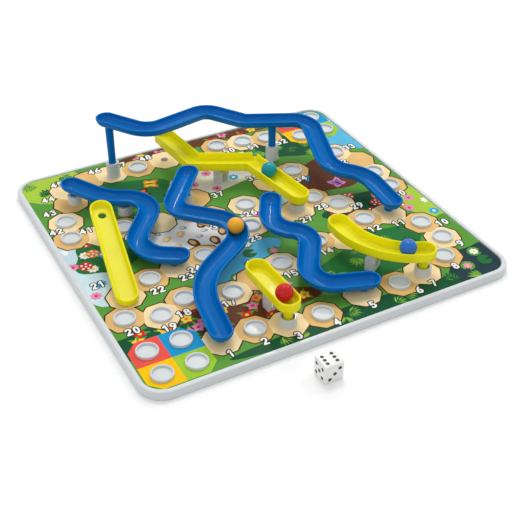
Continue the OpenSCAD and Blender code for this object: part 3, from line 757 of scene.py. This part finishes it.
SPACES = {
    1: (-89, -124), 2: (-61, -124), 3: (-36, -130), 4: (-8, -133), 5: (32, -126), 6: (65, -129),
    7: (89, -126), 8: (118, -116), 9: (133, -94), 10: (130, -68), 11: (113, -44), 12: (90, -41),
    13: (60, -58), 14: (37, -50), 15: (-4, -63), 16: (-32, -70), 17: (-56, -78), 18: (-92, -67),
    19: (-116, -77), 20: (-142, -68), 21: (-131, -43), 22: (-106, -32), 23: (-79, -27), 24: (-54, -24),
    25: (-1, -4), 26: (22, -8), 27: (46, -2), 28: (68, 9), 29: (83, -10), 30: (140, -6),
    31: (140, 20), 32: (139, 45), 33: (127, 67), 34: (75, 57), 35: (47, 50), 36: (-26, 58),
    37: (10, 27), 38: (-24, 26), 39: (-68, 38), 40: (-97, 45), 41: (-118, 44), 42: (-142, 50),
    43: (-138, 75), 44: (-124, 102), 45: (-120, 124), 46: (-97, 131), 47: (-74, 131), 48: (-49, 129),
    49: (-21, 131), 50: (33, 130), 51: (59, 126), 52: (83, 122),
}
NUMBER_SHIFT = (0, -15)
NUMBER_SHIFTS = {
    4: (5, -12.5), 6: (9, -14), 9: (8, -14), 10: (16, -8), 13: (14, -12), 16: (12, 16), 17: (-8, -9),
    18: (-8, -15), 21: (-14, 24), 24: (-15, -12), 25: (-5, -17), 26: (-14, 22), 29: (13, -10),
    31: (-15, 8), 32: (-16, 4), 33: (18, 3), 35: (-10, 14), 36: (-18, 4), 37: (-14, 27), 38: (-2, -16),
    39: (-10, 15), 41: (-9, 12), 42: (-8, 16), 43: (-8, 20), 44: (-16, 15), 45: (-5, 13), 46: (10, 12),
    47: (12, 11), 48: (13, 14), 49: (15, 8), 50: (7, -12), 51: (5, -12), 52: (9, -13),
}
DIGIT_H = 6.6
DIGIT_ASPECT = 0.56
DIGIT_STEP = 6.2
DIGIT_STROKE = 0.85
DIGIT_BORDER = 0.85
STROKE_STEPS = 6
CORNER_INSET = 15.2
CORNER_PITCH = 27.0
CORNER_CUT = 9.0
MARKER_PLACE = (-21, 132)
MARKER_R = 3.5
MARKER_STEPS = 24
INK_LIFT = 0.03
PRINT_MARGIN = 0.2
# The shapes are cut into triangles, only inside their outlines.
CUT_INSIDE = 1
CUT_TOLERANCE = 1e-4
# Wavy outlines of the beds
BED_STEPS = 44
BED_WOBBLE = 0.09
FAST_WAVES = 5
SLOW_WAVES = 3
SLOW_SHARE = 0.6
# Motifs that fill the beds
LEAF_STEPS = 7
LEAF_FULLNESS = 0.8
MOTIF_CLEARANCE = STONE_R - 2
MOTIF_SPIN = 1.7

# Each bed: ground ink, place, half sizes, turn in degrees, motif and how many of it
BEDS = [
    ("mist", -146, 2, 26, 46, 8, "daisy", 12),
    ("soil", -60, -98, 62, 22, -4, "tulip", 18),
    ("forest", 30, -147, 110, 12, -1, "sprig", 16),
    ("deep", 138, -138, 30, 24, 24, "lily", 9),
    ("moss", 70, -88, 58, 26, 14, "sprig", 12),
    ("pond", -30, -40, 40, 22, 12, "lily", 8),
    ("forest", 104, -22, 40, 20, -8, "toadstool", 8),
    ("gravel", -52, 6, 46, 26, -22, "pebble", 22),
    ("soil", 96, 36, 42, 26, 10, "butterfly", 6),
    ("mist", 24, 8, 34, 20, 24, "daisy", 9),
    ("moss", -78, 92, 52, 24, -16, "butterfly", 6),
    ("gravel", 18, 86, 52, 26, 8, "daisy", 10),
    ("forest", 96, 98, 50, 20, -10, "sprig", 12),
    ("pond", 146, 100, 22, 36, 10, "lily", 6),
    ("lime", -136, 138, 40, 26, -10, "sprig", 9),
    ("soil", 30, 148, 90, 10, 0, "tulip", 14),
    ("forest", -132, -102, 40, 16, -8, "tulip", 10),
    ("moss", -122, 16, 30, 26, 10, "toadstool", 7),
    ("lime", 150, -40, 18, 28, 0, "daisy", 6),
]


def ring_points(x, y, half_w, half_d, turn, count, wobble=0.0):
    """Closed oval, wavy where it has a wobble."""
    c, s = math.cos(turn), math.sin(turn)
    points = []
    for k in range(count):
        a = 2 * math.pi * k / count
        swell = 1 + wobble * math.sin(FAST_WAVES * a + x) + wobble * SLOW_SHARE * math.sin(SLOW_WAVES * a + y)
        u, v = half_w * swell * math.cos(a), half_d * swell * math.sin(a)
        points.append((x + u * c - v * s, y + u * s + v * c))
    return points


def stone_points(x, y, radius, turn):
    """A stepping stone: eight sides and rounded corners."""
    reach = radius / math.cos(math.pi / 8)
    points = []
    for k in range(8):
        corner = turn + math.pi * (2 * k + 1) / 8
        for lean in (-STONE_LEAN, 0.0, STONE_LEAN):
            out = reach * (1 - abs(lean) * STONE_ROUNDING)
            points.append((x + out * math.cos(corner + lean), y + out * math.sin(corner + lean)))
    return points


def leaf_points(x, y, length, width, turn):
    c, s = math.cos(turn), math.sin(turn)
    shape = [(length * k / LEAF_STEPS, width / 2 * math.sin(math.pi * (k / LEAF_STEPS) ** LEAF_FULLNESS))
             for k in range(LEAF_STEPS + 1)]
    shape += [(u, -v) for u, v in reversed(shape[1:-1])]
    return [(x + u * c - v * s, y + u * s + v * c) for u, v in shape]


def sprig(x, y, turn, k):
    inks = (("moss", "lime"), ("meadow", "lime"), ("forest", "meadow"))[k % 3]
    shapes = []
    for i in range(-3, 4):
        way = turn + math.radians(22 * i)
        shapes.append((leaf_points(x, y, length=12 - 1.2 * abs(i), width=3.6, turn=way), inks[0]))
        shapes.append((leaf_points(x, y, length=9.5 - abs(i), width=1.1, turn=way), inks[1]))
    return shapes


def petals(x, y, turn, ink, heart, radius, count):
    width, heart_r = radius * 0.75, radius * 0.3
    shapes = []
    for i in range(count):
        way = turn + 2 * math.pi * i / count
        shapes.append((leaf_points(x, y, radius, width, way), ink))
    return shapes + [(ring_points(x, y, heart_r, heart_r, 0.0, count=12), heart)]


def daisy(x, y, turn, k):
    ink, heart = (("white", "butter"), ("pink", "rose"), ("sky", "white"))[k % 3]
    return petals(x, y, turn, ink, heart, radius=5.2, count=8)


def tulip(x, y, turn, k):
    ink, heart = (("pink", "rose"), ("butter", "orange"), ("red", "butter"), ("orange", "red"))[k % 4]
    shapes = []
    for way in (0.5, 2.6, 4.7):
        shapes.append((leaf_points(x, y, length=8.5, width=3.0, turn=turn + way), "meadow"))
    return shapes + petals(x, y, turn, ink, heart, radius=5.4, count=5)


def lily(x, y, turn, k):
    pad_r = 6.0
    pad = ring_points(x, y, pad_r, pad_r, turn, count=20)
    pad[0] = (x, y)
    shapes = [(pad, ("moss", "meadow")[k % 2])]
    if k % 2:
        shapes += petals(x, y, turn, ("pink", "white")[k % 4 // 2], "butter", radius=4.2, count=7)
    return shapes


def pebble(x, y, turn, k):
    size, shift = 3.2 + 1.6 * (k % 3), 0.6
    tones = (("pebble", "gravel"), ("tan", "sand"), ("soil", "tan"))[k % 3]
    return [(ring_points(x, y, size, size * 0.7, turn, count=16, wobble=0.05), tones[0]),
            (ring_points(x - shift, y + shift, size * 0.6, size * 0.36, turn, count=12), tones[1])]


def toadstool(x, y, turn, k):
    cap_r, spot_r, spot_reach = 5.6, 1.1, 3.6
    shapes = [(ring_points(x, y, cap_r, cap_r, 0.0, count=22), ("red", "orange")[k % 2])]
    for i in range(6):
        way, reach = turn + i * math.pi / 2.5, (0.0 if i == 5 else spot_reach)
        place = (x + reach * math.cos(way), y + reach * math.sin(way))
        shapes.append((ring_points(*place, spot_r, spot_r, 0.0, count=10), "white"))
    return shapes


def butterfly(x, y, turn, k):
    ink, edge = (("orange", "bark"), ("sky", "deep"), ("violet", "pink"), ("butter", "orange"))[k % 4]
    wing_w = 6.6
    shapes = []
    for size, shade in ((1.0, edge), (0.72, ink)):
        for spread, length in ((0.62, 10.5), (-0.62, 10.5), (2.2, 7.5), (-2.2, 7.5)):
            shapes.append((leaf_points(x, y, length * size, wing_w * size, turn + spread), shade))
    return shapes + [(ring_points(x, y, half_w=4.2, half_d=0.9, turn=turn, count=12), "black")]


MOTIFS = {"sprig": sprig, "daisy": daisy, "tulip": tulip, "lily": lily, "pebble": pebble,
          "toadstool": toadstool, "butterfly": butterfly}


def on_sheet(points):
    return all(abs(x) < SHEET_HALF_W and abs(y) < SHEET_HALF_D for x, y in points)


def clear_of_trail(x, y, reach):
    return all(math.hypot(x - sx, y - sy) > reach for sx, sy in SPACES.values())


def corner_squares(side):
    """Start (side -1) or finish (side 1): four coloured squares with the outer corners cut."""
    inks = {-1: ("start_yellow", "start_red", "start_green", "start_blue"),
            1: ("start_blue", "start_green", "start_red", "start_yellow")}[side]
    half = CORNER_PITCH / 2
    shapes = []
    for k, ink in enumerate(inks):
        i, j = divmod(k, 2)
        x = side * (SHEET_HALF_W - CORNER_INSET - i * CORNER_PITCH)
        y = side * (SHEET_HALF_D - CORNER_INSET - j * CORNER_PITCH)
        u, v = side * (1 - 2 * i), side * (1 - 2 * j)
        points = [(x - u * half, y - v * half), (x + u * half, y - v * half),
                  (x + u * half, y + v * (half - CORNER_CUT)), (x + u * (half - CORNER_CUT), y + v * half),
                  (x - u * half, y + v * half)]
        shapes.append((points, ink))
    return shapes


def sheet_outline():
    points = []
    for k, (sx, sy) in enumerate(((1, 1), (-1, 1), (-1, -1), (1, -1))):
        middle = (sx * (SHEET_HALF_W - SHEET_CORNER), sy * (SHEET_HALF_D - SHEET_CORNER))
        points += arc(middle, SHEET_CORNER - PRINT_MARGIN, 90 * k, 90 * k + 90, SHEET_CORNER_STEPS)
    return points


def stone_turns():
    """Each stone's heading along the trail."""
    numbers = list(SPACES)
    turns = []
    for k in range(len(numbers)):
        x0, y0 = SPACES[numbers[max(k - 1, 0)]]
        x1, y1 = SPACES[numbers[min(k + 1, len(numbers) - 1)]]
        turns.append(math.atan2(y1 - y0, x1 - x0))
    return turns


def painted_shapes():
    """All the shapes of the print, in painting order, as (points, ink)."""
    shapes = [(sheet_outline(), "meadow")]
    for ink, x, y, half_w, half_d, turn, motif, count in BEDS:
        way = math.radians(turn)
        shapes.append((ring_points(x, y, half_w, half_d, way, BED_STEPS, BED_WOBBLE), ink))
    for ink, x, y, half_w, half_d, turn, motif, count in BEDS:
        way = math.radians(turn)
        for k in range(count):
            share, a = math.sqrt((k + 0.5) / count), k * GOLDEN_ANGLE
            u, v = half_w * share * math.cos(a), half_d * share * math.sin(a)
            px, py = x + u * math.cos(way) - v * math.sin(way), y + u * math.sin(way) + v * math.cos(way)
            if clear_of_trail(px, py, MOTIF_CLEARANCE):
                drawn = MOTIFS[motif](px, py, a * MOTIF_SPIN, k)
                shapes += [shape for shape in drawn if on_sheet(shape[0])]
    stones = list(zip(SPACES.values(), stone_turns()))
    for (x, y), turn in stones:
        shapes.append((stone_points(x, y, STONE_R + STONE_EDGE, turn), "bark"))
    for k, ((x, y), turn) in enumerate(stones):
        shapes.append((stone_points(x, y, STONE_R, turn), ("sand", "tan")[k % 2]))
    return shapes + corner_squares(-1) + corner_squares(1)


def cut_flat(shapes):
    """Flat shapes cut along every edge: corners, faces, and the numbers of the shapes over each face."""
    corners, faces = [], []
    for points, ink in shapes:
        around = [Vector(p) for p in points]
        area = sum(a.cross(b) for a, b in zip(around, around[1:] + around[:1]))
        faces.append(list(range(len(corners), len(corners) + len(around))))
        corners += around if area > 0 else reversed(around)
    flat, _, pieces, _, _, sources = delaunay_2d_cdt(corners, [], faces, CUT_INSIDE, CUT_TOLERANCE, True)
    kept = [(piece, source) for piece, source in zip(pieces, sources) if source]
    return flat, [piece for piece, source in kept], [source for piece, source in kept]


def make_print():
    """The print as one flat skin just above the card, inside its edge and around the drilled space."""
    shapes = painted_shapes()
    shapes.append((ring_points(*MARKER_PLACE, MARKER_R, MARKER_R, 0.0, MARKER_STEPS), None))
    flat, pieces, sources = cut_flat(shapes)
    shown = [(piece, shapes[max(source)][1]) for piece, source in zip(pieces, sources) if 0 in source]
    shown = [(piece, ink) for piece, ink in shown if ink]
    used = sorted({corner for piece, ink in shown for corner in piece})
    order = {corner: k for k, corner in enumerate(used)}
    mesh = bpy.data.meshes.new("trail_print")
    height = (SHEET_TOP + INK_LIFT) * MM
    mesh.from_pydata([(flat[k].x * MM, flat[k].y * MM, height) for k in used], [],
                     [[order[corner] for corner in piece] for piece, ink in shown])
    paint(mesh, [ink for piece, ink in shown])
    add_printed("trail_print", mesh)


def paint(mesh, inks):
    """Gives each face of a mesh its ink."""
    layer = mesh.color_attributes.new("ink", "FLOAT_COLOR", "CORNER")
    colours = []
    for polygon, ink in zip(mesh.polygons, inks):
        colours += list(INKS[ink]) * polygon.loop_total
    layer.data.foreach_set("color", colours)


def add_printed(name, mesh):
    mesh.materials.append(PRINTED_CARD)
    piece = bpy.data.objects.new(name, mesh)
    bpy.context.scene.collection.objects.link(piece)
    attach(piece, "board")


# Strokes of the digits, in a box DIGIT_ASPECT wide and 1 high
DIGITS = {
    "0": [[(0.28 + 0.24 * x, 0.5 + 0.5 * y) for x, y in arc((0, 0), 1, 0, 360, 16)]],
    "1": [[(0.06, 0.78), (0.32, 1.0), (0.32, 0.0)]],
    "2": [arc((0.28, 0.73), 0.26, 165, -38, 8) + [(0.04, 0.0), (0.55, 0.0)]],
    "3": [arc((0.26, 0.76), 0.24, 150, -80, 8), arc((0.26, 0.27), 0.27, 80, -150, 9)],
    "4": [[(0.42, 0.0), (0.42, 1.0), (0.0, 0.3), (0.58, 0.3)]],
    "5": [[(0.5, 1.0), (0.12, 1.0), (0.08, 0.52)] + arc((0.25, 0.3), 0.29, 110, -140, 9)],
    "6": [arc((0.28, 0.28), 0.27, 0, 360, 12), [(0.46, 1.0), (0.18, 0.72), (0.02, 0.34)]],
    "7": [[(0.02, 1.0), (0.54, 1.0), (0.2, 0.0)]],
    "8": [arc((0.28, 0.76), 0.23, 0, 360, 12), arc((0.28, 0.27), 0.27, 0, 360, 12)],
    "9": [arc((0.28, 0.72), 0.27, 0, 360, 12), [(0.54, 0.66), (0.4, 0.24), (0.12, 0.0)]],
}


def stroke_points(start, end, radius):
    """A straight stroke with round ends."""
    heading = math.degrees(math.atan2(end[1] - start[1], end[0] - start[0]))
    ahead = arc(end, radius, heading - 90, heading + 90, STROKE_STEPS)
    return ahead + arc(start, radius, heading + 90, heading + 270, STROKE_STEPS)


def make_numbers():
    """White numbers with a black border beside the spaces."""
    corners, faces, inks = [], [], []
    for number, (x, y) in SPACES.items():
        dx, dy = NUMBER_SHIFTS.get(number, NUMBER_SHIFT)
        text = str(number)
        left = x + dx - (DIGIT_STEP * (len(text) - 1) + DIGIT_ASPECT * DIGIT_H) / 2
        strokes = []
        for k, digit in enumerate(text):
            for line in DIGITS[digit]:
                placed = [(left + DIGIT_STEP * k + DIGIT_H * u, y + dy + DIGIT_H * (v - 0.5))
                          for u, v in line]
                strokes += zip(placed, placed[1:])
        shapes = [(stroke_points(a, b, DIGIT_STROKE + DIGIT_BORDER), "black") for a, b in strokes]
        shapes += [(stroke_points(a, b, DIGIT_STROKE), "white") for a, b in strokes]
        flat, pieces, sources = cut_flat(shapes)
        faces += [[len(corners) + corner for corner in piece] for piece in pieces]
        inks += [shapes[max(source)][1] for source in sources]
        corners += flat
    mesh = bpy.data.meshes.new("space_numbers")
    height = (SHEET_TOP + 2 * INK_LIFT) * MM
    mesh.from_pydata([(p.x * MM, p.y * MM, height) for p in corners], [], faces)
    paint(mesh, inks)
    add_printed("space_numbers", mesh)


# Floor
FLOOR_HALF = 3000
FLOOR_SEGMENTS = 8
FLOOR_COLOUR = (0.9, 0.9, 0.9, 1.0)
FLOOR_ROUGHNESS = 0.8
# Its own white grows from the board outwards, where less light falls on it.
FLOOR_WHITE = {"From Min": 0.15, "From Max": 1.5, "To Min": 0.12, "To Max": 0.46}


def make_floor():
    bm = bmesh.new()
    bmesh.ops.create_grid(bm, x_segments=FLOOR_SEGMENTS, y_segments=FLOOR_SEGMENTS, size=FLOOR_HALF)
    material, tree, shader = new_material("studio_floor")
    shader.inputs["Base Color"].default_value = FLOOR_COLOUR
    shader.inputs["Roughness"].default_value = FLOOR_ROUGHNESS
    shader.inputs["Specular IOR Level"].default_value = 0.0
    away = tree.nodes.new("ShaderNodeVectorMath")
    away.operation = "LENGTH"
    tree.links.new(tree.nodes.new("ShaderNodeTexCoord").outputs["Object"], away.inputs[0])
    white = tree.nodes.new("ShaderNodeMapRange")
    for name, value in FLOOR_WHITE.items():
        white.inputs[name].default_value = value
    tree.links.new(away.outputs["Value"], white.inputs["Value"])
    seen = tree.nodes.new("ShaderNodeMath")
    seen.operation = "MULTIPLY"
    tree.links.new(background_rays(tree), seen.inputs[0])
    tree.links.new(white.outputs["Result"], seen.inputs[1])
    tree.links.new(seen.outputs[0], shader.inputs["Emission Strength"])
    shader.inputs["Emission Color"].default_value = WHITE
    floor = to_object("floor", bm, [material])


# Finishes of the solids that stay
def finish_solid(node, material):
    solid = frame["nodes"][node]
    solid.data.materials.clear()
    solid.data.materials.append(material)


def finish_solids():
    for node in frame["record"]["behaviour"]["bodies"]["board"]:
        if node == "printed_sheet":
            finish_solid(node, CARD_STOCK)
        elif node == "pivot_pins":
            finish_solid(node, PIN_PLASTIC)
        else:
            finish_solid(node, TRAY_PLASTIC)
    for node, colour in BALL_COLOURS.items():
        finish_solid(node, plastic(node + "_gloss", colour, gloss=(0.2, 0.28), coat=0.4, shine=0.05))


make_camera()
make_light()
make_floor()
finish_solids()
for snake_name, snake in SNAKES.items():
    make_snake(snake_name, **snake)
make_left_ladder()
make_zigzag_ladder()
make_curved_ladder()
make_front_ladder()
make_die()
make_print()
make_numbers()
